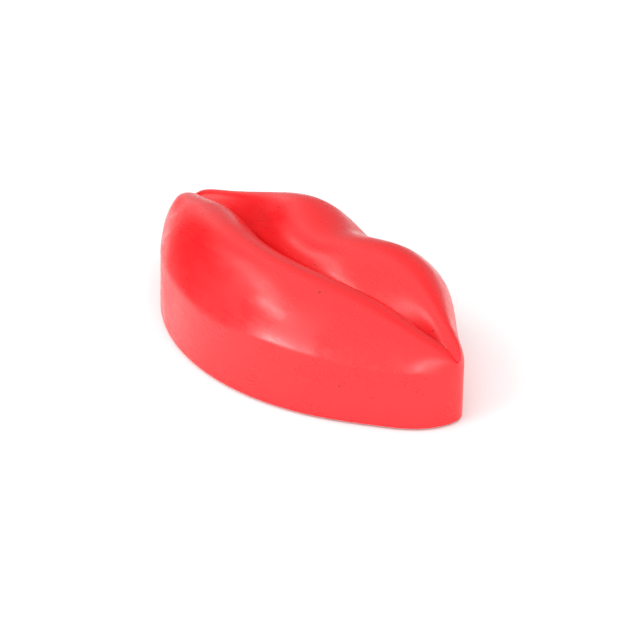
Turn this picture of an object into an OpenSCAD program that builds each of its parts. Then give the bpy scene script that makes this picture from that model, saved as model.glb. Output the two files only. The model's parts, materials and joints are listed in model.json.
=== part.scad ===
// One-piece novelty telephone in the shape of a pair of closed lips.
// It lies on its keypad side with the hook plunger pressed in. +Z is up, X runs
// from one corner of the mouth to the other, the lower lip is at -Y. Millimetres.

/* [Shell] */
// Length over both corners of the mouth
body_length = 213; // [205:1:225]
// Depth from the front of the lower lip to the back of the upper lip
body_depth = 115.8; // [114:0.2:122]
// Height of the lower lip's crest above the shell's rim
lip_height = 57.2; // [56:0.1:64]
// Thickness of the moulded walls
wall = 2.5; // [2:0.1:2.8]
// Number of stations round the lips
stations = 80; // [60:20:100]

/* [Underside] */
// Gap between the table and the shell's rim
rim_gap = 1; // [0.5:0.1:1.5]
// Height of the base plate's underside above the table
base_z = 5; // [4.5:0.1:5.5]
// Thickness of the base plate
base_t = 2.5; // [2.2:0.1:2.8]
// Gap between the base plate and the shell
base_gap = 0.5; // [0.3:0.1:1]

/* [Keypad] */
// Spacing of the key rows, along the body
key_row_pitch = 13; // [12:0.5:14]
// Spacing of the key columns, across the body
key_column_pitch = 16; // [15:0.5:17]
// Size of a key along and across the body
key_size = [9.5, 12]; // [8:0.5:13]
// How far a key stands out under the base plate
key_proud = 2.4; // [2:0.1:3]
// Middle of the keypad, along the body
keypad_x = -12.5; // [-14:0.5:-11]

/* [Hook] */
// Radius of the plunger that the table presses in
plunger_r = 4.5; // [4:0.1:4.8]
// Travel of the plunger when the telephone is lifted
plunger_travel = 3; // [2:0.1:3.2]
// Turns of the plunger's spring
spring_turns = 6; // [4:1:8]

/* [Sound] */
// Radius of the receiver's case
receiver_r = 16; // [14:0.5:17]
// Radius of the ringer's case
ringer_r = 11; // [9:0.5:12]
// Radius of the microphone capsule
microphone_r = 4.8; // [4:0.1:5]

/* [Hidden] */
$fn = 48;

// ---- Lips -------------------------------------------------------------------

// Control sections from the middle of the mouth to its corner. Each row is
// [outline x, mouth x, mouth y, mouth z, wall top z, then for the lower lip and
// again for the upper lip: outline y, crest place, crest z, fullness].
// A crest place is a share of the way from the outline to the mouth line.
sections = [
    [0, 0, -11, 36, 28, -65, 0.55, 58, 0.8, 45, 0.72, 49, 0.45],
    [32, 30, -8, 40, 32, -61, 0.55, 57, 0.9, 58, 0.56, 57, 0.6],
    [63, 60, 4, 35, 31, -48, 0.55, 52, 0.65, 41, 0.55, 46, 1.4],
    [87, 85, 3, 31, 27, -29, 0.55, 44, 0.6, 21, 0.5, 40, 0.9],
    [104, 101, 1, 39, 30, -15, 0.55, 40, 0.6, 11, 0.45, 38, 0.8],
    [109, 110, 4, 25, 24, 4, 0.5, 28, 0.6, 8, 0.45, 29, 0.7]
];
corner = len(sections) - 1;
spans = 4 * corner;

// The lower or upper half of a section, as
// [outline x, outline y, mouth x, mouth y, mouth z, wall top z, crest place, crest z, fullness]
function lip_row(s, k) = [s[0], s[k], s[1], s[2], s[3], s[4], s[k + 1], s[k + 2], s[k + 3]];
function mirrored(r) = [-r[0], r[1], -r[2], r[3], r[4], r[5], r[6], r[7], r[8]];

// Rows round the whole body: front middle, right corner, back middle, left corner
function ring(s) =
    let (right = concat(
        [for (i = [0:corner]) lip_row(s[i], 5)],
        [for (i = [corner - 1:-1:0]) lip_row(s[i], 9)]))
    concat(right, [for (i = [2 * corner - 1:-1:1]) mirrored(right[i])]);

// Uniform cubic B-spline through a closed ring of rows
function spline(rows, t) =
    let (n = len(rows), i = floor(t), f = t - i)
    (pow(1 - f, 3) * rows[(i + n - 1) % n]
        + (3 * pow(f, 3) - 6 * f * f + 4) * rows[i % n]
        + (-3 * pow(f, 3) + 3 * f * f + 3 * f + 1) * rows[(i + 1) % n]
        + pow(f, 3) * rows[(i + 2) % n]) / 6;

function station_rows(s) =
    let (rows = ring(s))
    [for (k = [0:stations - 1]) spline(rows, k * spans / stations)];

outer_rows = station_rows(sections);
// Scale from the control sections to the driving sizes
scale_x = body_length / 2 / max([for (r = outer_rows) r[0]]);
front_y = min([for (r = outer_rows) r[1]]);
back_y = max([for (r = outer_rows) r[1]]);
scale_y = body_depth / (back_y - front_y);
scale_z = lip_height / max([for (r = outer_rows) r[7]]);
function place(x, y, z) =
    [x * scale_x, (y - (front_y + back_y) / 2) * scale_y, rim_gap + z * scale_z];

// The inside follows the outside: the outline moves in by the wall, the mouth
// line is shorter and lower, and the crests sink more towards the corners.
mouth_shorten = 0.88;
mouth_drop = 2.3 * wall;
corner_drop = 5;
inner_fullness = 0.4;
function inset_section(s) =
    let (end = sections[corner][0],
         kx = 1 - 2 * wall / body_length,
         ky = 1 - 2 * wall / body_depth,
         mid = (front_y + back_y) / 2,
         drop = wall + corner_drop * pow(s[0] / end, 6))
    [s[0] * kx, s[1] * mouth_shorten, s[2], s[3] - mouth_drop, s[4] - wall / 2,
     mid + (s[5] - mid) * ky, s[6], s[7] - drop, s[8] + inner_fullness,
     mid + (s[9] - mid) * ky, s[10], s[11] - drop, s[12] + inner_fullness];
inner_rows = station_rows([for (s = sections) inset_section(s)]);

// The side wall leans in by this share of the way to the mouth line
wall_lean = 0.03;
// Steps up the wall, over the roll to the crest, and down to the mouth line
outer_steps = [2, 7, 8];
inner_steps = [1, 5, 5];

// The roll starts as an edge on top of the wall: a share of a straight slope,
// with its first part eased, and the rest a quarter of an ellipse
shoulder = 0.7;
shoulder_ease = 0.05;
function roll(t) =
    (1 - shoulder) * (1 - cos(90 * t)) + shoulder * (1 + shoulder_ease) * t * t / (t + shoulder_ease);

// One [share of the way to the mouth, height] pair per step of a profile
function profile(r, steps) = concat(
    [for (i = [0:steps[0] - 1]) let (u = i / steps[0]) [wall_lean * u, r[5] * u]],
    [for (i = [0:steps[1] - 1]) let (a = 90 * i / steps[1])
        [wall_lean + (r[6] - wall_lean) * roll(i / steps[1]), r[5] + (r[7] - r[5]) * sin(a)]],
    [for (i = [0:steps[2]]) let (a = 90 * i / steps[2])
        [r[6] + (1 - r[6]) * sin(a), r[4] + (r[7] - r[4]) * pow(max(cos(a), 0), 2 * r[8])]]);

function lip_points(rows, steps) =
    let (profiles = [for (r = rows) profile(r, steps)])
    [for (j = [0:len(profiles[0]) - 1], k = [0:stations - 1])
        let (r = rows[k], p = profiles[k][j])
        place(r[0] + (r[2] - r[0]) * p[0], r[1] + (r[3] - r[1]) * p[0], p[1])];

// On the mouth line, a station of the upper lip shares the lower lip's point
function joined(k) =
    k > stations / 4 && k < 3 * stations / 4 ? (3 * stations / 2 - k) % stations : k;

// Two triangles per cell of the grid; first is the index of its first point
function grid_faces(count, first) =
    [for (j = [0:count - 2], k = [0:stations - 1])
        let (n = (k + 1) % stations,
             last = j == count - 2,
             a = first + j * stations + k,
             b = first + j * stations + n,
             c = first + (j + 1) * stations + (last ? joined(n) : n),
             d = first + (j + 1) * stations + (last ? joined(k) : k))
        each [[a, c, b], [a, d, c]]];
function reversed(faces) = [for (f = faces) [f[2], f[1], f[0]]];

function total(v, i = 0) = i == len(v) ? 0 : v[i] + total(v, i + 1);
outer_count = total(outer_steps) + 1;
inner_count = total(inner_steps) + 1;
inner_first = outer_count * stations;

module lips_skin() {
    rim = [for (k = [0:stations - 1]) let (n = (k + 1) % stations)
        each [[k, n, inner_first + n], [k, inner_first + n, inner_first + k]]];
    polyhedron(
        points = concat(lip_points(outer_rows, outer_steps), lip_points(inner_rows, inner_steps)),
        faces = concat(
            grid_faces(outer_count, 0),
            reversed(grid_faces(inner_count, inner_first)),
            rim));
}

// ---- Shared shapes ----------------------------------------------------------

base_top = base_z + base_t;
screw_r = 1.3;
screw_bore_r = 1.35;
screw_clear_r = 1.7;
small_screw_r = 1;
small_bore_r = 1.05;

module at(places) {
    for (p = places) translate(p) children();
}

module block(low, high) {
    translate(low) cube(high - low);
}

module rounded_block(size, r, h) {
    translate([-size.x / 2 + r, -size.y / 2, 0]) cube([size.x - 2 * r, size.y, h]);
    translate([-size.x / 2, -size.y / 2 + r, 0]) cube([size.x, size.y - 2 * r, h]);
    for (sx = [-1, 1], sy = [-1, 1])
        translate([sx * (size.x / 2 - r), sy * (size.y / 2 - r), 0]) cylinder(r = r, h = h);
}

// Pan-head screw with its tip up: the head is under z = 0
module screw_up(r, length) {
    difference() {
        translate([0, 0, -1.6 * r]) cylinder(r1 = 1.7 * r, r2 = 2 * r, h = 1.6 * r);
        for (a = [0, 90])
            rotate([0, 0, a]) translate([-1.2 * r, -0.2 * r, -1.7 * r]) cube([2.4 * r, 0.4 * r, r]);
    }
    cylinder(r = r, h = length);
}

module screw_down(r, length) {
    rotate([180, 0, 0]) screw_up(r, length);
}

// Round wire swept along points chosen by hand
wire_r = 0.6;
wire_sides = 8;
function unit(v) = v / norm(v);
function curve(p, t) =
    let (i = min(floor(t), len(p) - 2), f = t - i,
         a = p[max(i - 1, 0)], b = p[i], c = p[i + 1], d = p[min(i + 2, len(p) - 1)])
    0.5 * (2 * b + (c - a) * f + (2 * a - 5 * b + 4 * c - d) * f * f
        + (3 * b - a - 3 * c + d) * f * f * f);

module swept_rings(centres, normals, binormals, r, sides) {
    n = len(centres);
    points = [for (i = [0:n - 1], k = [0:sides - 1])
        centres[i] + r * (cos(360 * k / sides) * normals[i] + sin(360 * k / sides) * binormals[i])];
    sides_faces = [for (i = [0:n - 2], k = [0:sides - 1])
        let (a = i * sides + k, b = i * sides + (k + 1) % sides)
        each [[a, a + sides, b + sides], [a, b + sides, b]]];
    start = [for (k = [1:sides - 2]) [0, k, k + 1]];
    end = [for (k = [1:sides - 2]) [(n - 1) * sides, (n - 1) * sides + k + 1, (n - 1) * sides + k]];
    polyhedron(points = points, faces = concat(sides_faces, start, end));
}

module wire(points, steps = 3) {
    count = (len(points) - 1) * steps;
    centres = [for (i = [0:count]) curve(points, i / steps)];
    tangents = [for (i = [0:count]) unit(centres[min(i + 1, count)] - centres[max(i - 1, 0)])];
    normals = [for (t = tangents) unit(cross(t, [0.3, 0.9, 0.1]))];
    binormals = [for (i = [0:count]) cross(tangents[i], normals[i])];
    swept_rings(centres, normals, binormals, wire_r, wire_sides);
}

// ---- Places of the fixings --------------------------------------------------

front_posts = [[30, -46], [-30, -46]];
back_posts = [[44, 47.5], [-44, 47.5]];
corner_posts = [[93, 7], [-93, 7]];
posts = concat(front_posts, back_posts, corner_posts);
post_r = 4;
post_top = 26;
feet = [[56, -30], [-56, -30], [56, 35], [-56, 35]];
foot_r = 6;
foot_recess = 1;

board_posts = [[28, -30], [-46, -30], [28, 28], [-46, 28]];
board_z = 22;
board_t = 1.6;
board_top = board_z + board_t;
keypad_posts = [for (sx = [-1, 1], sy = [-1, 1]) [keypad_x + 29.5 * sx, 21.5 * sy]];
keypad_board_z = 11.5;
keypad_board_top = keypad_board_z + board_t;
weight_holes = [[14, -44.5], [-14, -44.5]];

receiver = [-66, 3];
receiver_top = 18.5;
clamp_offset = 21.5;
clamp_posts = [receiver + [0, clamp_offset], receiver - [0, clamp_offset]];
clamp_z = receiver_top + 0.1;
microphone_at = [82, 4];
ringer_at = [67, 21.5];

hook = [44, 0];
flange_r = 7;
flange_t = 1.5;
guide_top = 11.5;
flange_z = guide_top + 0.4 + plunger_travel;
pivot = [58, 0, flange_z - 0.95];
bracket_z = 26;
bracket_t = 1.4;
bracket_holes = [[30.7, 0], [69.6, 0]];

jack_low = [-6.9, 34, base_top];
jack_high = [6.9, 49.6, 20];
jack_mouth = [9.8, 11.5, 6.8];
jack_mouth_z = 10.5;
switch_x = 21;
switch_y = 49.3;
switch_z = 14.5;
switch_turn = 11;
switch_travel = 4;

// ---- Housing ----------------------------------------------------------------

module wall_slot(side) {
    translate([side * switch_x, switch_y, switch_z]) rotate([0, 0, side * switch_turn])
        block([-4.4, 0, -2], [4.4, 12, 2]);
}

module lips_shell() {
    color("red") difference() {
        union() {
            lips_skin();
            at([for (p = posts) [p.x, p.y, base_top]]) cylinder(r = post_r, h = post_top - base_top);
            for (p = front_posts) block([p.x - 1, -52.3, base_top], [p.x + 1, p.y, post_top]);
            for (p = back_posts) block([p.x - 1, p.y, base_top], [p.x + 1, 54, post_top]);
            for (side = [-1, 1])
                block([min(side * 93, side * 105), 6, base_top], [max(side * 93, side * 105), 8, post_top]);
        }
        at([for (p = posts) [p.x, p.y, base_top - 1]])
            cylinder(r = screw_bore_r, h = post_top - base_top - 2);
        block([-6.3, 45, 9.2], [6.3, 60, 18.6]);
        wall_slot(1);
        wall_slot(-1);
    }
}

// Outline of the base plate: the inner outline, moved in by the gap
module base_outline() {
    kx = 1 - 2 * (wall + base_gap) / body_length;
    ky = 1 - 2 * (wall + base_gap) / body_depth;
    polygon([for (r = outer_rows) let (p = place(r[0], r[1], 0)) [p.x * kx, p.y * ky]]);
}

module key_holes() {
    for (i = [0:11])
        translate(key_place(i) + [0, 0, base_z - 1])
            rounded_block(key_size + [0.8, 0.8], 1.9, base_t + 2);
}

// Small sound holes: one in the middle and rings round it, six more in each ring
module sound_holes(centre, ring_r, rings, r) {
    at(concat([[centre.x, centre.y, base_z - 1]],
              [for (k = [1:rings], i = [1:6 * k]) let (a = 60 * i / k)
                  [centre.x + k * ring_r * cos(a), centre.y + k * ring_r * sin(a), base_z - 1]]))
        cylinder(r = r, h = base_t + 2);
}

// Low raised borders under the plate: round the keypad and round the receiver's holes
border_h = 1;
border_w = 1.5;
keypad_border = [57, 53];
receiver_border_r = 19;
module borders() {
    z = base_z - border_h;
    h = border_h + 0.5;
    translate([keypad_x, 0, z]) difference() {
        rounded_block(keypad_border, 4, h);
        translate([0, 0, -1]) rounded_block(keypad_border - 2 * [border_w, border_w], 4 - border_w, h + 2);
    }
    translate([receiver.x, receiver.y, z]) difference() {
        cylinder(r = receiver_border_r, h = h);
        translate([0, 0, -1]) cylinder(r = receiver_border_r - border_w, h = h + 2);
    }
}

module standoffs(places, r, top) {
    at([for (p = places) [p.x, p.y, base_top - 0.5]]) cylinder(r = r, h = top - base_top + 0.5);
}

module blind_bores(places, r, top) {
    at([for (p = places) [p.x, p.y, base_top - 1]]) cylinder(r = r, h = top - base_top + 2);
}

module base_plate() {
    color("firebrick") difference() {
        union() {
            translate([0, 0, base_z]) linear_extrude(base_t) base_outline();
            borders();
            standoffs(board_posts, 3, board_z);
            standoffs(keypad_posts, 2.4, keypad_board_z);
            standoffs(clamp_posts, 2.8, clamp_z);
            translate([hook.x, hook.y, base_top - 0.5])
                cylinder(r = plunger_r + 1.3, h = guide_top - base_top + 0.5);
            for (side = [-1, 1])
                block([min(side * 7.3, side * 9), 36, base_top - 0.5], [max(side * 7.3, side * 9), 46, 10]);
        }
        blind_bores(board_posts, small_bore_r, board_z);
        blind_bores(keypad_posts, small_bore_r, keypad_board_z);
        blind_bores(clamp_posts, small_bore_r, clamp_z);
        blind_bores(bracket_holes, small_bore_r, base_top - 1);
        at([for (p = concat(posts, weight_holes)) [p.x, p.y, base_z - 1]])
            cylinder(r = screw_clear_r, h = base_t + 2);
        at([for (p = feet) [p.x, p.y, base_z - 1]]) cylinder(r = foot_r + 0.1, h = foot_recess + 1);
        translate([hook.x, hook.y, base_z - 1]) cylinder(r = plunger_r + 0.35, h = guide_top);
        key_holes();
        sound_holes(receiver, 5.5, 2, 1.3);
        sound_holes(ringer_at, 4.5, 1, 1);
        at([for (a = [90, 210, 330])
                [microphone_at.x + 2 * cos(a), microphone_at.y + 2 * sin(a), base_z - 1]])
            cylinder(r = 0.8, h = base_t + 2);
    }
}

module rubber_feet() {
    color("black") at([for (p = feet) [p.x, p.y, 0]]) {
        cylinder(r1 = foot_r - 0.8, r2 = foot_r, h = 0.8);
        translate([0, 0, 0.8]) cylinder(r = foot_r, h = base_z + foot_recess - 0.8);
    }
}

module case_screws() {
    color("silver") at([for (p = posts) [p.x, p.y, base_z]]) screw_up(screw_r, 14);
}

// ---- Keypad -----------------------------------------------------------------

// Keys run in reading order, seen from below with the receiver at the top
function key_place(i) =
    [keypad_x + (floor(i / 3) - 1.5) * key_row_pitch, (1 - i % 3) * key_column_pitch, 0];
key_low = base_z - key_proud;
key_flange_z = base_top + 0.3;
key_flange_t = 1;

module key(i) {
    color("ivory") translate(key_place(i)) {
        translate([0, 0, key_low + 0.6]) rounded_block(key_size, 1.5, key_flange_z - key_low - 0.6);
        translate([0, 0, key_low]) rounded_block(key_size - [1, 1], 1.2, 0.6);
        translate([0, 0, key_flange_z]) rounded_block(key_size + [2.4, 2.4], 2, key_flange_t);
    }
}
module key_1() { key(0); }
module key_2() { key(1); }
module key_3() { key(2); }
module key_4() { key(3); }
module key_5() { key(4); }
module key_6() { key(5); }
module key_7() { key(6); }
module key_8() { key(7); }
module key_9() { key(8); }
module key_star() { key(9); }
module key_0() { key(10); }
module key_hash() { key(11); }

keypad_size = [64, 49];
dome_low = key_flange_z + key_flange_t + 1.25;
module key_membrane() {
    color("gray") difference() {
        union() {
            translate([keypad_x, 0, keypad_board_z - 0.8]) rounded_block(keypad_size - [1, 1], 2, 0.8);
            for (i = [0:11])
                translate(key_place(i) + [0, 0, dome_low])
                    cylinder(r1 = 2.6, r2 = 3.4, h = keypad_board_z - 0.5 - dome_low);
        }
        for (i = [0:11])
            translate(key_place(i) + [0, 0, keypad_board_z - 0.55]) cylinder(r = 2, h = 2);
        at([for (p = keypad_posts) [p.x, p.y, dome_low - 1]]) cylinder(r = 2.8, h = 5);
    }
}

module keypad_board() {
    color("tan") difference() {
        translate([keypad_x, 0, keypad_board_z]) rounded_block(keypad_size, 2, board_t);
        at([for (p = keypad_posts) [p.x, p.y, keypad_board_z - 1]]) cylinder(r = small_bore_r + 0.1, h = 4);
    }
}

module keypad_screws() {
    color("silver") at([for (p = keypad_posts) [p.x, p.y, keypad_board_top]]) screw_down(small_screw_r, 4.5);
}

// Flat cable folded in a half ring from the keypad board up to the main board
module ribbon_cable() {
    fold_r = (board_z - keypad_board_top) / 2;
    color("lightgray") translate([8, -6, keypad_board_top + fold_r]) rotate([-90, 0, 0]) {
        rotate_extrude(angle = 180, start = -90) translate([fold_r - 0.7, 0]) square([0.6, 14]);
        translate([-5, fold_r - 0.7, 0]) cube([5, 0.6, 14]);
        translate([-5, -fold_r + 0.1, 0]) cube([5, 0.6, 14]);
    }
}

// ---- Main board -------------------------------------------------------------

board_low = [-50, -34];
board_high = [32, 40];
module main_board() {
    color("darkgreen") difference() {
        block([board_low.x, board_low.y, board_z], [board_high.x, board_high.y, board_top]);
        at([for (p = board_posts) [p.x, p.y, board_z - 1]]) cylinder(r = small_bore_r + 0.1, h = 4);
        at([for (x = jack_pins) [x, jack_riser_y, board_z - 1]]) cylinder(r = 0.5, h = 4);
    }
}

module board_screws() {
    color("silver") at([for (p = board_posts) [p.x, p.y, board_top]]) screw_down(small_screw_r, 7);
}

// Chip with two rows of pins
module chip(size, pins) {
    color("dimgray") translate([-size.x / 2, -size.y / 2, 0.6]) cube([size.x, size.y, 2.8]);
    color("silver") for (i = [0:pins - 1], side = [-1, 1])
        translate([(i - (pins - 1) / 2) * 2.54 - 0.3, side * (size.y / 2 + 0.4) - 0.4, 0])
            cube([0.6, 0.8, 1.8]);
}
module dialler_chip() { translate([-10, 10, board_top]) chip([23, 6.5], 9); }
module speech_chip() { translate([-12, -8, board_top]) chip([19, 6.5], 7); }

capacitor_places = [[12, -14, 4, 9], [20, -4, 3.2, 7.5], [-34, -22, 3.2, 7.5], [-38, 16, 2.6, 6.5]];
module capacitors() {
    color("navy") for (c = capacitor_places) translate([c[0], c[1], board_top]) cylinder(r = c[2], h = c[3]);
}

resistor_places = [for (i = [0:6]) [-36 + 9 * i, 28]];
module resistors() {
    color("burlywood") for (p = resistor_places) translate([p.x, p.y, board_top + 1.2]) {
        translate([-3.2, 0, 0]) rotate([0, 90, 0]) cylinder(r = 1.15, h = 6.4);
        translate([-4, 0, 0]) rotate([0, 90, 0]) cylinder(r = 0.35, h = 8);
        for (x = [-3.8, 3.8]) translate([x, 0, -1.2]) cylinder(r = 0.35, h = 1.3);
    }
}

transistor_places = [[22, 12], [14, 12], [22, 20]];
module transistors() {
    color("black") for (p = transistor_places) translate([p.x, p.y, board_top + 2]) {
        intersection() {
            cylinder(r = 2.3, h = 4.6);
            translate([-3, -1.3, 0]) cube([6, 4, 5]);
        }
        for (x = [-1.27, 0, 1.27]) translate([x, 0, -2]) cylinder(r = 0.25, h = 2.2);
    }
}

module bridge_rectifier() {
    color("black") translate([0, 20, board_top]) {
        translate([-4, -2.5, 1.5]) cube([8, 5, 3]);
        for (x = [-3, -1, 1, 3]) translate([x, 0, 0]) cylinder(r = 0.3, h = 2);
    }
}

module crystal() {
    color("silver") translate([-34, 4, board_top]) {
        for (x = [-2.4, 2.4]) translate([x, 0, 0]) cylinder(r = 0.3, h = 1);
        translate([0, 0, 0.8]) rounded_block([10.5, 4.2], 2, 3.4);
    }
}

transformer = [0, -24];
core_size = [15, 15, 3.4];
module transformer_core() {
    color("slategray") translate([transformer.x, transformer.y, board_top]) difference() {
        translate([-core_size.x / 2, -core_size.y / 2, 1]) cube([core_size.x, core_size.y, 11]);
        for (side = [-1, 1])
            translate([-core_size.x / 2 - 1, side * 4.6 - 2.2, core_size.z])
                cube([core_size.x + 2, 4.4, 12 - 2 * core_size.z + 0.4]);
    }
}
module transformer_coil() {
    color("peru") translate([transformer.x, transformer.y, board_top]) {
        for (side = [-1, 1])
            translate([-5.5, side * 4.6 - 2, core_size.z + 0.2]) cube([11, 4, 12 - 2 * core_size.z]);
    }
}

// ---- Line jack and rear switches --------------------------------------------

jack_pins = [for (i = [0:3]) (i - 1.5) * 1.6];
jack_riser_y = 36;
module line_jack() {
    color("beige") difference() {
        block(jack_low, jack_high);
        block([-jack_mouth.x / 2, jack_high.y - jack_mouth.y, jack_mouth_z],
              [jack_mouth.x / 2, jack_high.y + 1, jack_mouth_z + jack_mouth.z]);
        block([-3.2, jack_high.y - 8, jack_low.z + 1], [3.2, jack_high.y + 1, jack_mouth_z + 1]);
        for (x = jack_pins) {
            translate([x, jack_riser_y, jack_mouth_z + 3]) cylinder(r = 0.4, h = 12);
            translate([x, jack_riser_y, jack_mouth_z + jack_mouth.z - 0.6]) rotate([-90, 0, 0])
                cylinder(r = 0.4, h = 6);
        }
    }
}
module jack_contacts() {
    color("gold") for (x = jack_pins) translate([x, jack_riser_y, jack_mouth_z + jack_mouth.z - 0.6]) {
        rotate([-90, 0, 0]) cylinder(r = 0.3, h = 10);
        translate([0, 0, -0.3]) cylinder(r = 0.3, h = board_top - jack_mouth_z - jack_mouth.z + 1.4);
    }
}

module slide_switch(side) {
    translate([side * switch_x, switch_y, switch_z]) rotate([0, 0, side * switch_turn]) difference() {
        block([-8, -3, -3.5], [8, 3, 3.5]);
        block([-4.4, -1, -1.9], [4.4, 4, 1.9]);
    }
}
module slide_knob(side) {
    translate([side * switch_x, switch_y, switch_z]) rotate([0, 0, side * switch_turn])
        block([-3.8, -0.6, -1.5], [-0.2, 8, 1.5]);
}
module ringer_switch() { color("dimgray") slide_switch(1); }
module ringer_knob() { color("black") slide_knob(1); }
module tone_switch() { color("dimgray") slide_switch(-1); }
module tone_knob() { color("black") slide_knob(-1); }

// ---- Hook -------------------------------------------------------------------

spigot_r = 2;
spring_r = 3.2;
spring_wire_r = 0.35;
spring_low = flange_z + flange_t + spring_wire_r + 0.05;
spring_high = bracket_z - spring_wire_r - 0.05;

module hook_plunger() {
    color("ivory") translate([hook.x, hook.y, 0]) {
        cylinder(r1 = plunger_r - 0.8, r2 = plunger_r, h = 0.8);
        translate([0, 0, 0.8]) cylinder(r = plunger_r, h = flange_z - 0.8);
        translate([0, 0, flange_z]) cylinder(r = flange_r, h = flange_t);
        translate([0, 0, flange_z + flange_t]) cylinder(r = spigot_r, h = 4);
    }
}

module hook_spring() {
    steps = 14;
    count = spring_turns * steps;
    centres = [for (i = [0:count]) let (a = 360 * i / steps)
        [hook.x + spring_r * cos(a), hook.y + spring_r * sin(a),
         spring_low + (spring_high - spring_low) * i / count]];
    normals = [for (i = [0:count]) let (a = 360 * i / steps) [cos(a), sin(a), 0]];
    up = [for (i = [0:count]) [0, 0, 1]];
    color("silver") swept_rings(centres, normals, up, spring_wire_r, 6);
}

// Folded sheet: two feet, two legs and a top, with ears for the lever's pin
module hook_bracket() {
    t = bracket_t;
    under = [[28, base_top], [34.5, base_top], [34.5, bracket_z], [65.8, bracket_z],
             [65.8, base_top], [72.4, base_top]];
    over = [[72.4, base_top + t], [65.8 + t, base_top + t], [65.8 + t, bracket_z + t],
            [34.5 - t, bracket_z + t], [34.5 - t, base_top + t], [28, base_top + t]];
    color("silver") difference() {
        union() {
            translate([0, 7, 0]) rotate([90, 0, 0]) linear_extrude(14) polygon(concat(under, over));
            for (y = [-6.5, 5.1]) block([55.2, y, 11], [60.8, y + 1.4, bracket_z + 0.2]);
        }
        translate([pivot.x, -8, pivot.z]) rotate([-90, 0, 0]) cylinder(r = small_screw_r + 0.02, h = 16);
        at([for (p = bracket_holes) [p.x, p.y, base_top - 1]]) cylinder(r = small_bore_r + 0.1, h = 4);
    }
}

module bracket_screws() {
    color("silver") at([for (p = bracket_holes) [p.x, p.y, base_top + bracket_t]])
        screw_down(small_screw_r, 2);
}

module hook_lever() {
    color("white") difference() {
        union() {
            block([pivot.x - 8.2, -3, pivot.z - 0.6], [pivot.x + 6, 3, pivot.z + 0.6]);
            translate([pivot.x, -4.7, pivot.z]) rotate([-90, 0, 0]) cylinder(r = 2, h = 9.4);
        }
        translate([pivot.x, -6, pivot.z]) rotate([-90, 0, 0]) cylinder(r = small_bore_r, h = 12);
    }
}

module hook_pin() {
    color("silver") translate([pivot.x, -6.9, pivot.z]) rotate([-90, 0, 0])
        cylinder(r = small_screw_r, h = 13.8);
}

module hook_switch() {
    color("black") {
        block([pivot.x - 4.8, -4.6, pivot.z + 5], [pivot.x + 7, 4.6, bracket_z]);
        translate([pivot.x + 4.5, 0, pivot.z + 3.6]) cylinder(r = 0.8, h = 1.6);
    }
}

// ---- Receiver, microphone, ringer -------------------------------------------

module receiver_case() {
    color("dimgray") translate([receiver.x, receiver.y, 0]) difference() {
        translate([0, 0, 9]) cylinder(r = receiver_r, h = receiver_top - 9);
        translate([0, 0, 8]) cylinder(r = receiver_r - 1.5, h = receiver_top - 9.5);
    }
}
module receiver_gasket() {
    color("black") translate([receiver.x, receiver.y, base_top]) difference() {
        cylinder(r = receiver_r, h = 1.5);
        translate([0, 0, -1]) cylinder(r = receiver_r - 3.5, h = 4);
    }
}
module receiver_diaphragm() {
    color("silver") translate([receiver.x, receiver.y, base_top + 1.5])
        cylinder(r = receiver_r - 1.6, h = 0.4);
}
module receiver_magnet() {
    color("slategray") translate([receiver.x, receiver.y, 11.6])
        cylinder(r = receiver_r / 2, h = receiver_top - 13.1);
}
module receiver_clamp() {
    color("silver") difference() {
        translate([receiver.x, receiver.y, clamp_z]) rounded_block([9, 2 * clamp_offset + 8], 3, 1.2);
        at([for (p = clamp_posts) [p.x, p.y, clamp_z - 1]]) cylinder(r = small_bore_r + 0.1, h = 4);
    }
}
module clamp_screws() {
    color("silver") at([for (p = clamp_posts) [p.x, p.y, clamp_z + 1.2]]) screw_down(small_screw_r, 6);
}

module microphone_boot() {
    color("black") translate([microphone_at.x, microphone_at.y, base_top]) difference() {
        cylinder(r = microphone_r + 2, h = 6);
        translate([0, 0, 1]) cylinder(r = microphone_r + 0.05, h = 6);
        translate([0, 0, -1]) cylinder(r = 3.2, h = 3);
    }
}
module microphone() {
    color("silver") translate([microphone_at.x, microphone_at.y, base_top + 1.05])
        cylinder(r = microphone_r, h = 5.4);
}

module ringer_case() {
    color("black") translate([ringer_at.x, ringer_at.y, base_top]) difference() {
        cylinder(r = ringer_r, h = 6);
        translate([0, 0, -1]) cylinder(r = ringer_r - 1.4, h = 5.5);
    }
}
module ringer_disc() {
    color("gold") translate([ringer_at.x, ringer_at.y, base_top + 2.4])
        cylinder(r = ringer_r - 1.45, h = 0.5);
}

module ballast_weight() {
    color("slategray") difference() {
        translate([0, -44.5, base_top]) rounded_block([44, 11], 2, 12);
        at([for (p = weight_holes) [p.x, p.y, base_top - 1]]) cylinder(r = screw_bore_r, h = 9);
    }
}
module weight_screws() {
    color("silver") at([for (p = weight_holes) [p.x, p.y, base_z]]) screw_up(screw_r, 8.5);
}

// ---- Wires ------------------------------------------------------------------

module receiver_wires() {
    for (k = [0, 1]) color(["white", "red"][k])
        wire([[-60, 7 + 3 * k, receiver_top - 0.3], [-58, 7 + 3 * k, 22], [-54, 6 + 3 * k, 26.5],
              [-50, 5 + 3 * k, 27], [-47.5, 4 + 3 * k, board_top - 0.3]]);
}
module microphone_wires() {
    for (k = [0, 1]) color(["black", "white"][k])
        wire([[81 + 2 * k, 5 - 2 * k, 13.6], [80.5, 0 - 3 * k, 18], [74, -10 - 3 * k, 20],
              [52, -16 - 3 * k, 22], [36, -17 - 3 * k, 26], [29, -16 - 3 * k, board_top - 0.3]]);
}
module ringer_wires() {
    for (k = [0, 1]) color(["blue", "yellow"][k])
        wire([[66 + k, 22 + 3 * k, 13.2], [64 + k, 20 + 3 * k, 17], [56, 16 + 3 * k, 21],
              [42, 14 + 3 * k, 25], [34, 13 + 3 * k, 27], [29, 12 + 3 * k, board_top - 0.3]]);
}

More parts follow.
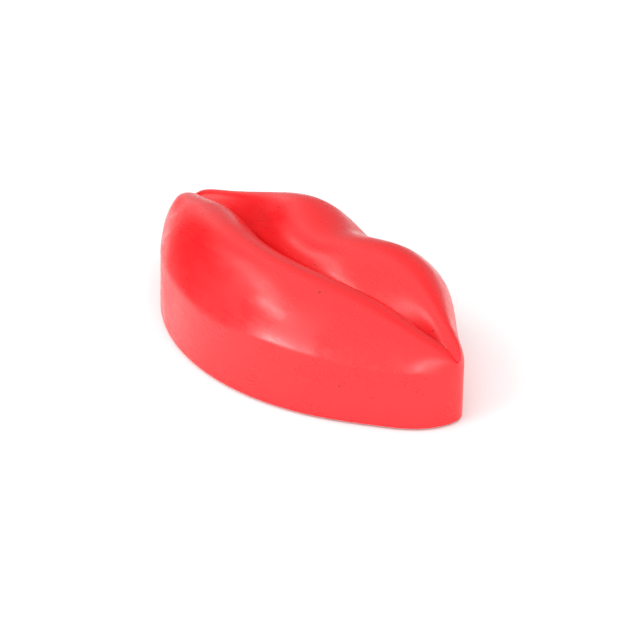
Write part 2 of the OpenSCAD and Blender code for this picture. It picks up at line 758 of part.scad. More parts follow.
lips_shell();
base_plate();
rubber_feet();
case_screws();
key_1();
key_2();
key_3();
key_4();
key_5();
key_6();
key_7();
key_8();
key_9();
key_star();
key_0();
key_hash();
key_membrane();
keypad_board();
keypad_screws();
ribbon_cable();
main_board();
board_screws();
dialler_chip();
speech_chip();
capacitors();
resistors();
transistors();
bridge_rectifier();
crystal();
transformer_core();
transformer_coil();
line_jack();
jack_contacts();
hook_plunger();
hook_spring();
hook_bracket();
bracket_screws();
hook_lever();
hook_pin();
hook_switch();
ringer_switch();
ringer_knob();
tone_switch();
tone_knob();
receiver_case();
receiver_gasket();
receiver_diaphragm();
receiver_magnet();
receiver_clamp();
clamp_screws();
microphone_boot();
microphone();
ringer_case();
ringer_disc();
ballast_weight();
weight_screws();
receiver_wires();
microphone_wires();
ringer_wires();
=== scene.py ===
import json
import math

import bmesh
import bpy
import numpy as np
from mathutils import Matrix, Vector


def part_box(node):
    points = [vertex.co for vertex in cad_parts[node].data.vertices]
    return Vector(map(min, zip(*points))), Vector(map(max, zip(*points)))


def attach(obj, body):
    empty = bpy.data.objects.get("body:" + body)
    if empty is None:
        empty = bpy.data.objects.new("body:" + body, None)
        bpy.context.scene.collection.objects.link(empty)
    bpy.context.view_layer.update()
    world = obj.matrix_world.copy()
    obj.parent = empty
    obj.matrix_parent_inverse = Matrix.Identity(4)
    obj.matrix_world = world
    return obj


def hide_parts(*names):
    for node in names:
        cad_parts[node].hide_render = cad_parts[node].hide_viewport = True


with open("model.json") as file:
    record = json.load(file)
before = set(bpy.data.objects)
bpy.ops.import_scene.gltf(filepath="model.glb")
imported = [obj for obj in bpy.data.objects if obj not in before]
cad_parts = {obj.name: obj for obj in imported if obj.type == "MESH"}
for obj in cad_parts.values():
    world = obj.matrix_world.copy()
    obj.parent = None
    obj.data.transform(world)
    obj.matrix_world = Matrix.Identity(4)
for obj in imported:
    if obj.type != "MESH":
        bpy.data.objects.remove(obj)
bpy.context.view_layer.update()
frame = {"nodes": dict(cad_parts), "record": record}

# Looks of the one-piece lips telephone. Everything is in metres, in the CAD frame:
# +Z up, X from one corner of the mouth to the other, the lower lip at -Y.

MM = 0.001
record = frame["record"]
slot_of = {part["node"]: part["material_slot"] for part in record["subparts"]}


# ---- Meshes -----------------------------------------------------------------

# Points nearer than WELD are one point, edges flatter than FLAT_ANGLE go, and edges
# sharper than ROUNDED_ANGLE are rounded; shading stays crisp beyond the sharp angles
WELD = 2e-6
FLAT_ANGLE = math.radians(0.5)
ROUNDED_ANGLE = math.radians(32)
SHARP_ANGLE, SHARP_ANGLE_CURVED = math.radians(40), math.radians(50)


def link(obj):
    """Puts a new object into the scene and returns it."""
    bpy.context.scene.collection.objects.link(obj)
    return obj


def add_mesh(name, points, faces, body, replaced, slot):
    """Makes a smooth mesh object that rides on a body and replaces CAD nodes; returns it."""
    mesh = bpy.data.meshes.new(name)
    mesh.from_pydata([tuple(p) for p in points], [], [tuple(f) for f in faces])
    mesh.validate()
    mesh.polygons.foreach_set("use_smooth", [True] * len(mesh.polygons))
    mesh.materials.append(materials[slot])
    obj = link(bpy.data.objects.new(name, mesh))
    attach(obj, body)
    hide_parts(*replaced)
    return obj


def evaluated_mesh(obj):
    """A new mesh with what an object's modifiers or text make of it."""
    graph = bpy.context.evaluated_depsgraph_get()
    return bpy.data.meshes.new_from_object(obj.evaluated_get(graph))


def apply_modifiers(obj):
    """Replaces an object's mesh by what its modifiers make of it."""
    mesh = evaluated_mesh(obj)
    obj.modifiers.clear()
    obj.data = mesh


def loft(rings):
    """Points and faces of a stack of rings with the same number of points, closed at both ends."""
    count = len(rings[0])
    points = [p for ring in rings for p in ring]
    faces = []
    for j in range(len(rings) - 1):
        for k in range(count):
            n = (k + 1) % count
            faces.append((j * count + k, j * count + n, (j + 1) * count + n, (j + 1) * count + k))
    faces.append(tuple(range(count - 1, -1, -1)))
    faces.append(tuple((len(rings) - 1) * count + k for k in range(count)))
    return points, faces


def bevel(obj, width, segments=2):
    """Rounds the sharp edges of a mesh and smooths its shading."""
    shape = bmesh.new()
    shape.from_mesh(obj.data)
    bmesh.ops.remove_doubles(shape, verts=shape.verts, dist=WELD)
    bmesh.ops.dissolve_limit(shape, angle_limit=FLAT_ANGLE, verts=shape.verts, edges=shape.edges)
    bmesh.ops.triangulate(shape, faces=[f for f in shape.faces if len(f.verts) > 4], ngon_method="BEAUTY")
    sharp = [e for e in shape.edges if len(e.link_faces) == 2 and e.calc_face_angle() > ROUNDED_ANGLE]
    bmesh.ops.bevel(shape, geom=sharp, offset=width, segments=segments, profile=0.5,
                    affect="EDGES", clamp_overlap=True)
    bmesh.ops.remove_doubles(shape, verts=shape.verts, dist=WELD / 2)
    bmesh.ops.dissolve_degenerate(shape, edges=shape.edges, dist=WELD / 20)
    shape.to_mesh(obj.data)
    shape.free()
    obj.data.polygons.foreach_set("use_smooth", [True] * len(obj.data.polygons))
    obj.data.set_sharp_from_angle(angle=SHARP_ANGLE)
    # Flat faces keep their own shading beside the rounded edges
    modifier = obj.modifiers.new("normals", "WEIGHTED_NORMAL")
    modifier.weight = 100
    modifier.keep_sharp = True
    apply_modifiers(obj)


def softened(node, body, width, segments=2):
    """Replaces a CAD node by a copy with rounded edges, in the node's own material."""
    obj = link(bpy.data.objects.new(node + "_detailed", frame["nodes"][node].data.copy()))
    bevel(obj, width, segments)
    obj.data.materials.clear()
    obj.data.materials.append(materials[slot_of[node]])
    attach(obj, body)
    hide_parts(node)


# ---- Shader nodes -----------------------------------------------------------

def math_node(tree, kind, a, b):
    """A maths node on two numbers or sockets."""
    node = tree.nodes.new("ShaderNodeMath")
    node.operation = kind
    for socket, value in zip(node.inputs, (a, b)):
        if isinstance(value, (int, float)):
            socket.default_value = value
        else:
            tree.links.new(value, socket)
    return node.outputs["Value"]


def ramp_node(tree, value, start, result=(0.0, 1.0)):
    """Maps a value smoothly from a starting range to a resulting range."""
    node = tree.nodes.new("ShaderNodeMapRange")
    node.interpolation_type = "SMOOTHSTEP"
    for key, number in zip(("From Min", "From Max", "To Min", "To Max"), (*start, *result)):
        node.inputs[key].default_value = number
    tree.links.new(value, node.inputs["Value"])
    return node.outputs["Result"]


class Shader:
    """A Principled material with a few procedural helpers, in object coordinates."""

    def __init__(self, name, colour, roughness, **values):
        self.material = bpy.data.materials.new(name)
        self.material.use_nodes = True
        self.tree = self.material.node_tree
        self.bsdf = self.tree.nodes["Principled BSDF"]
        self.bsdf.inputs["Base Color"].default_value = (*colour, 1)
        self.bsdf.inputs["Roughness"].default_value = roughness
        for key, value in values.items():
            self.bsdf.inputs[key].default_value = value
        self.place = self.tree.nodes.new("ShaderNodeTexCoord").outputs["Object"]
        self.normal = None

    def texture(self, kind, **values):
        """A texture node at the object's coordinates; in the values' names an underscore is a space."""
        node = self.tree.nodes.new(kind)
        for key, value in values.items():
            node.inputs[key.replace("_", " ")].default_value = value
        self.tree.links.new(self.place, node.inputs["Vector"])
        return node

    def noise(self, scale, detail=3.0, roughness=0.5, stretch=(1, 1, 1)):
        """Noise from 0 to 1; a stretch below 1 lengthens it along that axis."""
        mapping = self.texture("ShaderNodeMapping", Scale=stretch)
        noise = self.tree.nodes.new("ShaderNodeTexNoise")
        noise.inputs["Scale"].default_value = scale
        noise.inputs["Detail"].default_value = detail
        noise.inputs["Roughness"].default_value = roughness
        self.tree.links.new(mapping.outputs["Vector"], noise.inputs["Vector"])
        return noise.outputs["Fac"]

    def tint(self, value, start, amount, colour):
        """Blends the base colour towards another, by an amount that follows the value."""
        mix = self.tree.nodes.new("ShaderNodeMix")
        mix.data_type = "RGBA"
        base = self.bsdf.inputs["Base Color"]
        if base.is_linked:
            self.tree.links.new(base.links[0].from_socket, mix.inputs["A"])
        else:
            mix.inputs["A"].default_value = base.default_value
        mix.inputs["B"].default_value = (*colour, 1)
        self.tree.links.new(ramp_node(self.tree, value, start, amount), mix.inputs["Factor"])
        self.tree.links.new(mix.outputs["Result"], base)

    def rough(self, value, start, roughness):
        """Varies the roughness over a range."""
        self.tree.links.new(ramp_node(self.tree, value, start, roughness), self.bsdf.inputs["Roughness"])

    def bump(self, height, distance):
        """Adds relief of a given depth in metres on top of earlier relief."""
        node = self.tree.nodes.new("ShaderNodeBump")
        node.inputs["Strength"].default_value = 1.0
        node.inputs["Distance"].default_value = distance
        self.tree.links.new(height, node.inputs["Height"])
        if self.normal is not None:
            self.tree.links.new(self.normal, node.inputs["Normal"])
        self.normal = node.outputs["Normal"]
        self.tree.links.new(self.normal, self.bsdf.inputs["Normal"])


# ---- Materials --------------------------------------------------------------

def darker(colour, share):
    """A colour at a share of its brightness."""
    return tuple(c * share for c in colour)


def glossy_red(name, colour, roughness):
    """Polished red moulding: uneven polish, faint polishing lines, low waves and a few dark specks."""
    s = Shader(name, colour, roughness, IOR=1.49)
    flow = s.noise(18, stretch=(1, 1.6, 1))
    s.tint(flow, (0.35, 0.75), (0.0, 0.3), darker(colour, 0.78))
    worn = s.noise(34, detail=5, roughness=0.65)
    lines = s.noise(420, stretch=(0.06, 1, 1))
    worn_share, lines_share = 0.75, 0.25
    polish = math_node(s.tree, "ADD", math_node(s.tree, "MULTIPLY", worn, worn_share),
                       math_node(s.tree, "MULTIPLY", lines, lines_share))
    s.rough(polish, (0.35, 0.65), (roughness - 0.07, roughness + 0.12))
    specks = s.noise(380, detail=0)
    s.tint(specks, (0.84, 0.87), (0.0, 0.8), (0.16, 0.004, 0.004))
    s.bump(s.noise(45), 0.12 * MM)
    s.bump(s.noise(330, stretch=(0.12, 1, 1)), 0.008 * MM)
    return s.material


def moulded(name, colour, roughness, grain=1400, depth=0.01 * MM):
    """Moulded plastic or rubber: a fine grain, uneven gloss and slight shading of the colour."""
    s = Shader(name, colour, roughness)
    s.tint(s.noise(60), (0.35, 0.75), (0.0, 0.35), darker(colour, 0.8))
    s.rough(s.noise(180, detail=4), (0.35, 0.7), (roughness - 0.05, roughness + 0.05))
    s.bump(s.noise(grain, detail=2), depth)
    return s.material


def metal(name, colour, roughness, stretch=(1, 1, 1)):
    """Plated or drawn metal with fine lines and dull patches."""
    s = Shader(name, colour, roughness, Metallic=1.0)
    s.tint(s.noise(90), (0.4, 0.75), (0.0, 0.4), darker(colour, 0.7))
    s.rough(s.noise(500, stretch=stretch), (0.3, 0.7), (roughness - 0.08, roughness + 0.12))
    s.bump(s.noise(1500, detail=1, stretch=stretch), 0.005 * MM)
    return s.material


def circuit_board(name):
    """Green solder mask over faint copper tracks, with tinned pads."""
    s = Shader(name, (0.02, 0.13, 0.045), 0.35)
    tracks = s.texture("ShaderNodeTexBrick", Scale=260, Mortar_Size=0.12)
    s.tint(tracks.outputs["Fac"], (0.4, 0.6), (0.0, 0.6), (0.05, 0.24, 0.08))
    pads = s.texture("ShaderNodeTexVoronoi", Scale=330)
    s.tint(pads.outputs["Distance"], (0.10, 0.14), (1.0, 0.0), (0.62, 0.62, 0.58))
    s.bump(tracks.outputs["Fac"], 0.02 * MM)
    return s.material


def banded(name, colour, bands, scale, axis):
    """Stripes of a second colour along an axis, for resistors and flat cable."""
    s = Shader(name, colour, 0.4)
    wave = s.texture("ShaderNodeTexWave", Scale=scale, Distortion=0.0)
    wave.bands_direction = axis
    s.tint(wave.outputs["Fac"], (0.72, 0.80), (0.0, 1.0), bands)
    s.bump(s.noise(1200, detail=1), 0.006 * MM)
    return s.material


materials = {
    "red_plastic": glossy_red("red_plastic_look", (0.80, 0.010, 0.014), 0.28),
    "red_base": glossy_red("red_base_look", (0.62, 0.009, 0.012), 0.36),
    "key_plastic": moulded("key_plastic_look", (0.80, 0.77, 0.68), 0.33),
    "ivory_plastic": moulded("ivory_plastic_look", (0.72, 0.66, 0.50), 0.35),
    "black_plastic": moulded("black_plastic_look", (0.018, 0.018, 0.02), 0.48, grain=2200, depth=0.02 * MM),
    "rubber": moulded("rubber_look", (0.022, 0.022, 0.022), 0.75, grain=1700, depth=0.03 * MM),
    "foam": moulded("foam_look", (0.05, 0.05, 0.052), 0.9, grain=1300, depth=0.1 * MM),
    "silicone": moulded("silicone_look", (0.42, 0.45, 0.47), 0.5),
    "board": circuit_board("board_look"),
    "ribbon": banded("ribbon_look", (0.55, 0.55, 0.53), (0.25, 0.25, 0.25), 800, "Y"),
    "capacitor": moulded("capacitor_look", (0.015, 0.03, 0.12), 0.3),
    "resistor": banded("resistor_look", (0.60, 0.40, 0.20), (0.30, 0.05, 0.02), 220, "X"),
    "steel": metal("steel_look", (0.56, 0.56, 0.57), 0.32, stretch=(0.2, 1, 1)),
    "bright_metal": metal("bright_metal_look", (0.78, 0.78, 0.79), 0.22),
    "iron": metal("iron_look", (0.16, 0.16, 0.17), 0.55),
    "copper": metal("copper_look", (0.60, 0.24, 0.10), 0.3, stretch=(1, 1, 6)),
    "brass": metal("brass_look", (0.78, 0.56, 0.22), 0.26),
    "wire": moulded("wire_look", (0.62, 0.62, 0.58), 0.4),
    "ink": moulded("ink_look", (0.02, 0.02, 0.022), 0.5),
}
for node, obj in frame["nodes"].items():
    obj.data.materials.clear()
    obj.data.materials.append(materials[slot_of[node]])


# ---- Lips -------------------------------------------------------------------

# Control sections from the middle of the mouth to its corner, in millimetres.
# Each row is [outline x, mouth x, mouth y, mouth z, wall top z, then for the
# lower lip and again for the upper lip: outline y, crest place, crest z, fullness].
SECTIONS = [
    [0, 0, -11, 36, 28, -65, 0.55, 58, 0.8, 45, 0.72, 49, 0.45],
    [32, 30, -8, 40, 32, -61, 0.55, 57, 0.9, 58, 0.56, 57, 0.6],
    [63, 60, 4, 35, 31, -48, 0.55, 52, 0.65, 41, 0.55, 46, 1.4],
    [87, 85, 3, 31, 27, -29, 0.55, 44, 0.6, 21, 0.5, 40, 0.9],
    [104, 101, 1, 39, 30, -15, 0.55, 40, 0.6, 11, 0.45, 38, 0.8],
    [109, 110, 4, 25, 24, 4, 0.5, 28, 0.6, 8, 0.45, 29, 0.7],
]
LOWER_LIP, UPPER_LIP = 5, 9
STATIONS = 480
# Steps up the wall, over the shoulder to the crest, and down to the mouth
OUTER_STEPS, INNER_STEPS = (14, 44, 72), (4, 12, 14)
WALL = 2.5
WALL_LEAN = 0.03
SHOULDER, SHOULDER_EASE = 0.7, 0.05
MOUTH_SHORTEN, MOUTH_DROP, INNER_FULLNESS = 0.88, 2.3 * WALL, 0.4
CORNER_DROP, CORNER_DROP_POWER = 5, 6
RIM_ROUND, RIM_STEPS = 0.6 * MM, 4
GROOVE_DEPTH, GROOVE_WIDTH, GROOVE_FADE = 0.5 * MM, 0.45 * MM, 14 * MM
BEAD_HEIGHT, BEAD_WIDTH, BEAD_PLACE = 0.35 * MM, 0.6 * MM, 1.5 * MM


def lip_row(s, k):
    """[x, y, mouth x, mouth y, mouth z, wall top, crest place, crest z, fullness] of one lip's section."""
    return [s[0], s[k], s[1], s[2], s[3], s[4], s[k + 1], s[k + 2], s[k + 3]]


def spline(rows, t):
    """Uniform cubic B-spline of a closed ring of control rows, at parameters t."""
    i = np.floor(t).astype(int)
    f = (t - i)[:, None]
    n = len(rows)
    return ((1 - f) ** 3 * rows[(i - 1) % n] + (3 * f ** 3 - 6 * f ** 2 + 4) * rows[i % n]
            + (-3 * f ** 3 + 3 * f ** 2 + 3 * f + 1) * rows[(i + 1) % n] + f ** 3 * rows[(i + 2) % n]) / 6


def station_rows(sections):
    """Rows at evenly spread stations round the body: from the middle of the lower lip towards +X."""
    right = [lip_row(s, LOWER_LIP) for s in sections] + [lip_row(s, UPPER_LIP) for s in sections[-2::-1]]
    left = [[-r[0], r[1], -r[2]] + r[3:] for r in right[-2:0:-1]]
    rows = np.array(right + left, float)
    return spline(rows, np.arange(STATIONS) * len(rows) / STATIONS)


outer_rows = station_rows(SECTIONS)
shell_low, shell_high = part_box("lips_shell")
half_length = outer_rows[:, 0].max()
front_y, back_y = outer_rows[:, 1].min(), outer_rows[:, 1].max()
crest_height = outer_rows[:, 7].max()
scale = np.array([(shell_high.x - shell_low.x) / 2 / half_length,
                  (shell_high.y - shell_low.y) / (back_y - front_y),
                  (shell_high.z - shell_low.z) / crest_height])
shift = np.array([0, -(front_y + back_y) / 2 * scale[1], shell_low.z])


def inset_section(s):
    """A section of the inside, as in the CAD: closer by the wall, lower at the mouth and the corners."""
    middle = (front_y + back_y) / 2
    length_share = 1 - WALL / half_length
    depth_share = 1 - 2 * WALL / (back_y - front_y)
    drop = WALL + CORNER_DROP * (s[0] / SECTIONS[-1][0]) ** CORNER_DROP_POWER
    row = [s[0] * length_share, s[1] * MOUTH_SHORTEN, s[2], s[3] - MOUTH_DROP, s[4] - WALL / 2]
    for k in (LOWER_LIP, UPPER_LIP):
        row += [middle + (s[k] - middle) * depth_share, s[k + 1], s[k + 2] - drop, s[k + 3] + INNER_FULLNESS]
    return row


def joined(k):
    """Station whose mouth point this one shares: the upper lip uses the lower lip's."""
    return (3 * STATIONS // 2 - k) % STATIONS if STATIONS // 4 < k < 3 * STATIONS // 4 else k


def lip_profiles(rows, steps):
    """Way from outline to mouth (0 to 1) and height in mm, each as [step, station]."""
    wall_top, crest, crest_z, fullness = rows.T[5:]
    mouth_z = rows.T[4]
    wall_steps, roll_steps, dip_steps = steps
    ways, heights = [], []
    for u in np.linspace(0, 1, wall_steps + 1)[:-1]:
        ways.append(np.full(STATIONS, WALL_LEAN * u))
        heights.append(wall_top * u)
    for a in np.linspace(0, math.pi / 2, roll_steps + 1)[:-1]:
        t = a / (math.pi / 2)
        eased = (1 + SHOULDER_EASE) * t * t / (t + SHOULDER_EASE)
        roll = (1 - SHOULDER) * (1 - math.cos(a)) + SHOULDER * eased
        ways.append(WALL_LEAN + (crest - WALL_LEAN) * roll)
        heights.append(wall_top + (crest_z - wall_top) * math.sin(a))
    for a in np.linspace(0, math.pi / 2, dip_steps + 1):
        ways.append(crest + (1 - crest) * math.sin(a))
        heights.append(mouth_z + (crest_z - mouth_z) * max(math.cos(a), 0) ** (2 * fullness))
    return np.array(ways), np.array(heights)


def lip_grid(rows, steps, grooved=False):
    """Points [step, station] from the rim over the crest to the mouth line, in metres."""
    x, y, mouth_x, mouth_y = rows.T[:4]
    ways, heights = lip_profiles(rows, steps)
    grid = np.stack([x + (mouth_x - x) * ways, y + (mouth_y - y) * ways, heights], -1) * scale + shift
    if grooved:
        mouth = np.stack([mouth_x, mouth_y], -1) * scale[:2] + shift[:2]
        away = np.linalg.norm(grid[..., :2] - mouth, axis=-1)
        fade = np.clip((half_length * scale[0] - np.abs(mouth[:, 0])) / GROOVE_FADE, 0, 1)
        # Only on the mouth's side of the lips
        near = fade * (ways > 0.5)
        grid[..., 2] -= near * GROOVE_DEPTH * np.exp(-(away / GROOVE_WIDTH) ** 2)
        # The lower lip's edge turns up in a fine bead beside the groove
        lower = np.array([joined(k) == k for k in range(STATIONS)])
        grid[..., 2] += near * lower * BEAD_HEIGHT * np.exp(-((away - BEAD_PLACE) / BEAD_WIDTH) ** 2)
    return grid


def rounded_rim(grid, other):
    """Turns the bottom edge of one wall in a quarter circle towards the other wall."""
    inward = other[0] - grid[0]
    inward[:, 2] = 0
    inward /= np.linalg.norm(inward, axis=1, keepdims=True)
    rows = []
    for a in np.linspace(0, math.pi / 2, RIM_STEPS + 1)[:-1]:
        rise = [0, 0, RIM_ROUND * (1 - math.cos(a))]
        rows.append(grid[0] + inward * RIM_ROUND * (1 - math.sin(a)) + rise)
    raised = grid.copy()
    raised[0, :, 2] += RIM_ROUND
    return np.concatenate([rows, raised])


def grid_faces(steps, first, flip=False):
    """Faces of a grid whose points start at index first; both lips share the last row's mouth points."""
    faces = []
    for j in range(steps - 1):
        last = j == steps - 2
        for k in range(STATIONS):
            n = (k + 1) % STATIONS
            row = first + (j + 1) * STATIONS
            upper = (row + joined(n), row + joined(k)) if last else (row + n, row + k)
            face = tuple(dict.fromkeys((row - STATIONS + k, row - STATIONS + n, *upper)))
            faces.append(face[::-1] if flip else face)
    return faces


def make_lips():
    """The shell: an outer and an inner skin, joined at the rim."""
    outer = lip_grid(outer_rows, OUTER_STEPS, grooved=True)
    inner = lip_grid(station_rows([inset_section(s) for s in SECTIONS]), INNER_STEPS)
    outer, inner = rounded_rim(outer, inner), rounded_rim(inner, outer)
    points = np.concatenate([outer.reshape(-1, 3), inner.reshape(-1, 3)])
    first = outer.shape[0] * STATIONS
    faces = grid_faces(outer.shape[0], 0) + grid_faces(inner.shape[0], first, flip=True)
    faces += [(first + k, first + (k + 1) % STATIONS, (k + 1) % STATIONS, k) for k in range(STATIONS)]
    shell = add_mesh("lips", points, faces, "housing", ["lips_shell"], "red_plastic")
    # Drop the mouth points of the upper lip, which nothing uses
    shape = bmesh.new()
    shape.from_mesh(shell.data)
    bmesh.ops.delete(shape, geom=[v for v in shape.verts if not v.link_faces], context="VERTS")
    shape.to_mesh(shell.data)
    shape.free()
    return shell


lips = make_lips()


# ---- Openings in the back wall ----------------------------------------------

# Lowest and highest corners of the cutting boxes, and the switches' slots from their middles
JACK_OPENING = Vector((-6.3, 45, 9.2)) * MM, Vector((6.3, 62, 18.6)) * MM
SWITCH_OPENING = Vector((-4.4, 0, -2)) * MM, Vector((4.4, 13, 2)) * MM
OPENING_ROUND = 0.5 * MM
SWITCH_TURN = math.radians(11)
SWITCH_SIDES = {"ringer": 1, "tone": -1}


def switch_frame(name):
    """Place and turn of a slide switch: X along its travel, Y out through the wall."""
    low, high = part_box(name + "_switch")
    return Matrix.Translation((low + high) / 2) @ Matrix.Rotation(SWITCH_SIDES[name] * SWITCH_TURN, 4, "Z")


def cut_opening(obj, low, high, move):
    """Cuts a rounded box, given by two corners and moved to its place, out of a mesh."""
    sides = low, high
    points = [move @ Vector((i.x, j.y, k.z)) for k in sides for j in sides for i in sides]
    faces = [(0, 2, 3, 1), (4, 5, 7, 6), (0, 1, 5, 4), (2, 6, 7, 3), (0, 4, 6, 2), (1, 3, 7, 5)]
    mesh = bpy.data.meshes.new("cutter")
    mesh.from_pydata(points, [], faces)
    cutter = link(bpy.data.objects.new("cutter", mesh))
    bevel(cutter, OPENING_ROUND, 3)
    modifier = obj.modifiers.new("cut", "BOOLEAN")
    modifier.operation = "DIFFERENCE"
    modifier.solver = "EXACT"
    modifier.object = cutter
    apply_modifiers(obj)
    bpy.data.objects.remove(cutter)


cut_opening(lips, *JACK_OPENING, Matrix.Identity(4))
for name in SWITCH_SIDES:
    cut_opening(lips, *SWITCH_OPENING, switch_frame(name))
lips.data.set_sharp_from_angle(angle=SHARP_ANGLE_CURVED)


# ---- Screw posts inside the shell -------------------------------------------

POSTS = ((30, -46), (-30, -46), (44, 47.5), (-44, 47.5), (93, 7), (-93, 7))
# Radius and z in mm, down the blind bore and up the outside
POST_PROFILE = ((1.35, 25), (1.35, 7.5), (3.7, 7.5), (4.0, 7.8), (4.0, 25.7), (3.7, 26))
POST_SIDES = 32


def make_posts():
    """All six posts as one mesh."""
    points, faces = [], []
    for x, y in POSTS:
        rings = []
        for r, z in POST_PROFILE:
            turns = [math.tau * k / POST_SIDES for k in range(POST_SIDES)]
            rings.append([Vector((x + r * math.cos(t), y + r * math.sin(t), z)) * MM for t in turns])
        more, sides = loft(rings)
        start = len(points)
        points += more
        faces += [tuple(start + i for i in f[::-1]) for f in sides]
    posts = add_mesh("shell_posts", points, faces, "housing", ["lips_shell"], "red_plastic")
    posts.data.set_sharp_from_angle(angle=SHARP_ANGLE)


make_posts()


# ---- Rounded copies of the moulded and metal pieces -------------------------

# Width of the rounding in mm
HOUSING_EDGES = {
    "base_plate": 0.25, "rubber_feet": 0.5, "case_screws": 0.12, "line_jack": 0.2,
    "ringer_switch": 0.2, "tone_switch": 0.2, "ballast_weight": 0.4, "receiver_case": 0.4,
    "receiver_clamp": 0.15, "hook_bracket": 0.12, "hook_switch": 0.2, "keypad_board": 0.1,
    "main_board": 0.1, "dialler_chip": 0.1, "speech_chip": 0.1, "transformer_core": 0.15,
    "transformer_coil": 0.6, "capacitors": 0.4, "crystal": 0.3, "ringer_case": 0.4,
    "microphone_boot": 0.3, "weight_screws": 0.12, "clamp_screws": 0.12, "board_screws": 0.12,
    "bridge_rectifier": 0.2,
}
PLUNGER_EDGE, LEVER_EDGE, KEY_EDGE = 0.5, 0.2, 0.45

for node, width in HOUSING_EDGES.items():
    softened(node, "housing", width * MM)
softened("hook_plunger", "plunger", PLUNGER_EDGE * MM, 3)
softened("hook_lever", "lever", LEVER_EDGE * MM)


# ---- Keys -------------------------------------------------------------------

SIGN_KEYS = {"*": "key_star", "#": "key_hash"}
DIGIT_SIZE, STAR_SIZE = 5.2 * MM, 7.5 * MM
DIGIT_HALF_DEPTH, DIGIT_SINK = 0.04 * MM, 0.01 * MM


def make_digit(text, key):
    """A printed character on a key's underside, read with the receiver end upwards."""
    curve = bpy.data.curves.new("digit", "FONT")
    curve.body = text
    curve.size = STAR_SIZE if text == "*" else DIGIT_SIZE
    curve.extrude = DIGIT_HALF_DEPTH
    curve.resolution_u = 6
    text_object = link(bpy.data.objects.new("digit", curve))
    bpy.context.view_layer.update()
    mesh = evaluated_mesh(text_object)
    bpy.data.objects.remove(text_object)
    points = np.array([v.co for v in mesh.vertices])
    middle = (points.min(0) + points.max(0)) / 2
    low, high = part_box(key)
    centre = (low + high) / 2
    # Right in the text is -Y, up is -X, and it faces down
    for vertex in mesh.vertices:
        x, y, z = vertex.co.x - middle[0], vertex.co.y - middle[1], vertex.co.z
        vertex.co = (centre.x - y, centre.y - x, low.z - z + DIGIT_SINK)
    mesh.materials.clear()
    mesh.materials.append(materials["ink"])
    obj = link(bpy.data.objects.new(key + "_digit", mesh))
    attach(obj, key + "_button")


for text in "123456789*0#":
    key = SIGN_KEYS.get(text, "key_" + text)
    softened(key, key + "_button", KEY_EDGE * MM, 3)
    make_digit(text, key)


# ---- Switch knobs -----------------------------------------------------------

# In mm, from the middle of the switch: X along its travel, Y out through the wall
KNOB_LEFT, KNOB_RIGHT, KNOB_INNER, KNOB_OUTER = -3.8, -0.2, -0.6, 8.0
RIDGES, RIDGE_STEPS, RIDGE_HEIGHT = 5, 8, 0.5
# Z, share of the length, and how far the outer face stands back
KNOB_LAYERS = ((-1.5, 0.9, 0.2), (-1.3, 1, 0), (1.3, 1, 0), (1.5, 0.9, 0.2))


def make_knob(name):
    """A slider with grip ridges across its outer face."""
    profile = [(KNOB_LEFT, KNOB_INNER)]
    for t in np.linspace(0, 1, RIDGES * RIDGE_STEPS + 1):
        valley = RIDGE_HEIGHT * (0.5 + 0.5 * math.cos(math.tau * RIDGES * t))
        profile.append((KNOB_LEFT + (KNOB_RIGHT - KNOB_LEFT) * t, KNOB_OUTER - valley))
    profile.append((KNOB_RIGHT, KNOB_INNER))
    middle = (KNOB_LEFT + KNOB_RIGHT) / 2
    move = switch_frame(name)
    rings = []
    for z, share, back in KNOB_LAYERS:
        ring = [Vector((middle + (x - middle) * share, y - back * (y > 0), z)) * MM for x, y in profile]
        rings.append([move @ p for p in ring[::-1]])
    points, faces = loft(rings)
    knob = add_mesh(name + "_knob_ribbed", points, faces, name + "_slider", [name + "_knob"], "black_plastic")
    knob.data.set_sharp_from_angle(angle=SHARP_ANGLE_CURVED)


for name in SWITCH_SIDES:
    make_knob(name)


# ---- Camera, light and floor ------------------------------------------------

AZIMUTH, ELEVATION, DISTANCE = 52.4, 28.7, 0.907
LENS, SENSOR = 108.2, 36.0
TARGET_HEIGHT = 0.0308
# The object stands a little left of and above the middle of the frame
AIM_RIGHT, AIM_DOWN = 0.00076, 0.01576
LIGHT_DISTANCE, LIGHT_TARGET = 1.1, Vector((0, 0, 0.03))
# Name, azimuth, elevation, width, height, radiance
LIGHTS = (
    ("front_box", 0, 11, 0.46, 0.30, 12.5),
    ("right_box", 68, 8, 0.95, 0.30, 5.0),
    ("left_top_box", -48, 48, 0.85, 0.26, 3.0),
    ("mouth_spot", -14, 37, 0.44, 0.12, 9.0),
)
SKY, SKY_LIFT = 1.3, 1.0
# Where reflections find less sky: direction, cosines where the dark starts and is full, and how dark
DARK_PLACES = (
    ((-0.955, -0.17, 0.24), (0.72, 0.96), 0.95),
    ((-0.71, -0.66, 0.24), (0.80, 0.97), 0.6),
    ((-0.35, 0.93, 0.1), (0.45, 0.92), 0.72),
)
FLOOR_HALF, FLOOR_DROP = 0.3, 0.0002


def outwards(azimuth, elevation):
    """Unit vector from the object, for an azimuth (0 is -Y, 90 is +X) and an elevation in degrees."""
    azimuth, elevation = math.radians(azimuth), math.radians(elevation)
    return Vector((math.sin(azimuth) * math.cos(elevation), -math.cos(azimuth) * math.cos(elevation),
                   math.sin(elevation)))


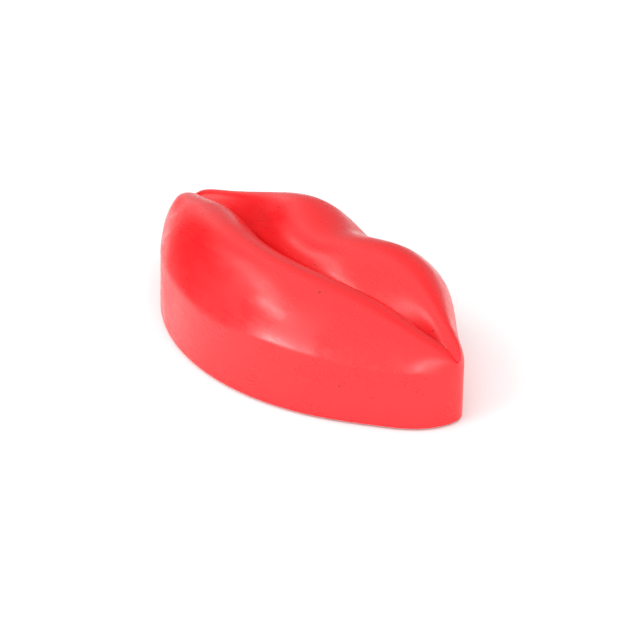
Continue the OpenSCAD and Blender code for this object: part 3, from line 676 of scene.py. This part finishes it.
def set_camera():
    """A long lens from the front right, a little above the object."""
    back = outwards(AZIMUTH, ELEVATION)
    right = outwards(AZIMUTH + 90, 0)
    up = back.cross(right)
    middle = Vector((0, shift[1], TARGET_HEIGHT))
    data = bpy.data.cameras.new("camera")
    data.lens, data.sensor_width = LENS, SENSOR
    data.clip_start, data.clip_end = 0.05, 20
    camera = bpy.data.objects.new("camera", data)
    camera.location = middle + back * DISTANCE
    aim = middle + right * AIM_RIGHT - up * AIM_DOWN
    camera.rotation_euler = (aim - camera.location).to_track_quat("-Z", "Y").to_euler()
    bpy.context.scene.camera = link(camera)


def soft_light(name, azimuth, elevation, width, height, radiance):
    """A rectangular softbox that faces the object."""
    direction = outwards(azimuth, elevation)
    data = bpy.data.lights.new(name, "AREA")
    data.shape = "RECTANGLE"
    data.size, data.size_y = width, height
    data.energy = radiance * math.pi * width * height
    lamp = bpy.data.objects.new(name, data)
    lamp.location = direction * LIGHT_DISTANCE + LIGHT_TARGET
    lamp.rotation_euler = (-direction).to_track_quat("-Z", "Y").to_euler()
    lamp.visible_camera = False
    link(lamp)


def set_floor():
    """A small white table top just under the feet."""
    s = Shader("floor_look", (0.92, 0.92, 0.92), 0.9)
    s.bump(s.noise(3, detail=2), 0.5 * MM)
    mesh = bpy.data.meshes.new("floor")
    corners = [(x * FLOOR_HALF, y * FLOOR_HALF, 0) for x, y in ((-1, -1), (1, -1), (1, 1), (-1, 1))]
    mesh.from_pydata(corners, [], [(0, 1, 2, 3)])
    mesh.materials.append(s.material)
    floor = link(bpy.data.objects.new("floor", mesh))
    floor.location.z = -FLOOR_DROP


def set_world():
    """White for the camera; for the object it darkens towards the left and back horizon."""
    world = bpy.data.worlds.new("studio")
    world.use_nodes = True
    tree = world.node_tree
    direction = tree.nodes.new("ShaderNodeTexCoord").outputs["Generated"]
    dark = 0.0
    for vector, cosines, amount in DARK_PLACES:
        dot = tree.nodes.new("ShaderNodeVectorMath")
        dot.operation = "DOT_PRODUCT"
        dot.inputs[1].default_value = vector
        tree.links.new(direction, dot.inputs[0])
        shade = math_node(tree, "MULTIPLY", ramp_node(tree, dot.outputs["Value"], cosines), amount)
        dark = math_node(tree, "MAXIMUM", dark, shade)
    light = math_node(tree, "MULTIPLY", math_node(tree, "SUBTRACT", 1.0, dark), SKY)
    seen = tree.nodes.new("ShaderNodeLightPath").outputs["Is Camera Ray"]
    strength = math_node(tree, "ADD", light, math_node(tree, "MULTIPLY", seen, SKY_LIFT))
    background = tree.nodes["Background"]
    background.inputs["Color"].default_value = (1, 1, 1, 1)
    tree.links.new(strength, background.inputs["Strength"])
    bpy.context.scene.world = world


set_camera()
set_floor()
set_world()
for light in LIGHTS:
    soft_light(*light)
bpy.context.scene.view_settings.view_transform = "Standard"
